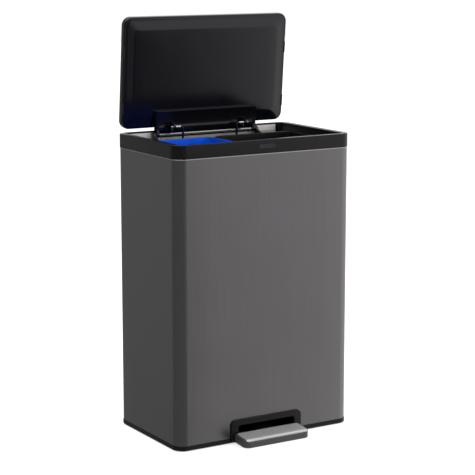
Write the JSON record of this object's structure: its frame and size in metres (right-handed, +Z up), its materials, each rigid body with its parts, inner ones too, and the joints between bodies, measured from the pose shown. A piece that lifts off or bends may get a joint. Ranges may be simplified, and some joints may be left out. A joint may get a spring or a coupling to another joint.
{
  "type": "double recycling bin",
  "caption": "Floor-standing steel step bin with a wide lid, a pedal with a lift linkage and side-by-side lift-out inner buckets.",
  "frame": {"origin": "on the floor, at the centre of the body's footprint, on the flat boss under the base", "axes": "+X to the right seen from the front, +Y towards the back where the lid is hinged, +Z up"},
  "size_m": [0.43, 0.3243, 0.8859],
  "materials": {
    "dark_steel": "fine vertical brushing, dark grey tint",
    "black_plastic": "fine moulded grain",
    "lid_black": "satin moulded",
    "pale_steel": "horizontal brushing",
    "bright_steel": "bare drawn steel",
    "tread_steel": "brushed along its width",
    "lever_steel": "black painted pressed steel",
    "grey_plastic": "moulded",
    "blue_plastic": "satin moulded",
    "red_plastic": "moulded",
    "rubber": "matt"
  },
  "bodies": {
    "bin_body": {"body_wrap": "dark_steel", "top_rim": "black_plastic", "badge_plate": "grey_plastic", "base_tray": "black_plastic", "pedal_surround": "black_plastic", "inner_floor": "black_plastic", "foot_front_left": "rubber", "foot_front_right": "rubber", "foot_back_left": "rubber", "foot_back_right": "rubber", "mechanism_cover": "black_plastic", "rear_spine": "black_plastic", "wire_guide_upper": "black_plastic", "wire_guide_lower": "black_plastic", "damper_cylinder": "grey_plastic", "damper_clamp_upper": "black_plastic", "damper_clamp_lower": "black_plastic", "pivot_bracket_left": "black_plastic", "pivot_bracket_right": "black_plastic", "pedal_pivot_rod": "bright_steel", "hinge_rail": "pale_steel", "hinge_bracket_left": "lid_black", "hinge_bracket_right": "lid_black", "hinge_rod": "bright_steel", "hinge_backing": "black_plastic", "rail_screw_1": "bright_steel", "rail_screw_2": "bright_steel"},
    "lid": {"lid_shell": "lid_black", "lid_skin": "dark_steel", "lid_inner_panel": "lid_black", "hinge_plate": "lid_black", "lift_lug_left": "lid_black", "lift_lug_right": "lid_black", "lid_bumper_front_left": "rubber", "lid_bumper_front_right": "rubber", "lid_bumper_back_left": "rubber", "lid_bumper_back_right": "rubber"},
    "lift_linkage": {"lift_frame": "bright_steel", "lift_bridge": "grey_plastic", "damper_rod": "bright_steel"},
    "pedal": {"pedal_lever": "lever_steel", "pedal_base": "grey_plastic", "pedal_tread": "tread_steel"},
    "left_bucket": {"bucket_left": "blue_plastic"},
    "right_bucket": {"bucket_right": "black_plastic"},
    "hold_open": {"hold_open_slider": "red_plastic"}
  },
  "joints": [
    {"name": "lid_hinge", "type": "hinge", "parent": "bin_body", "child": "lid", "pos_m": [0, 0.119, 0.631], "axis": [-1, 0, 0], "range_deg": [-85, 0]},
    {"name": "lift_travel", "type": "slide", "parent": "bin_body", "child": "lift_linkage", "axis": [0, 0, 1], "range_m": [-0.03523, 0]},
    {"name": "pedal_pivot", "type": "hinge", "parent": "bin_body", "child": "pedal", "pos_m": [0, -0.07, 0.029], "axis": [1, 0, 0], "range_deg": [-11.89, 0]},
    {"name": "left_bucket_lift", "type": "slide", "parent": "bin_body", "child": "left_bucket", "axis": [0, 0, 1], "range_m": [0, 0.64]},
    {"name": "right_bucket_lift", "type": "slide", "parent": "bin_body", "child": "right_bucket", "axis": [0, 0, 1], "range_m": [0, 0.64]},
    {"name": "hold_open_slide", "type": "slide", "parent": "bin_body", "child": "hold_open", "axis": [1, 0, 0], "range_m": [-0.008, 0]}
  ],
  "couplings": [
    {"joint": "lift_travel", "follows": "lid_hinge", "m_per_rad": 0.023681},
    {"joint": "pedal_pivot", "follows": "lid_hinge", "ratio": 0.13969}
  ]
}
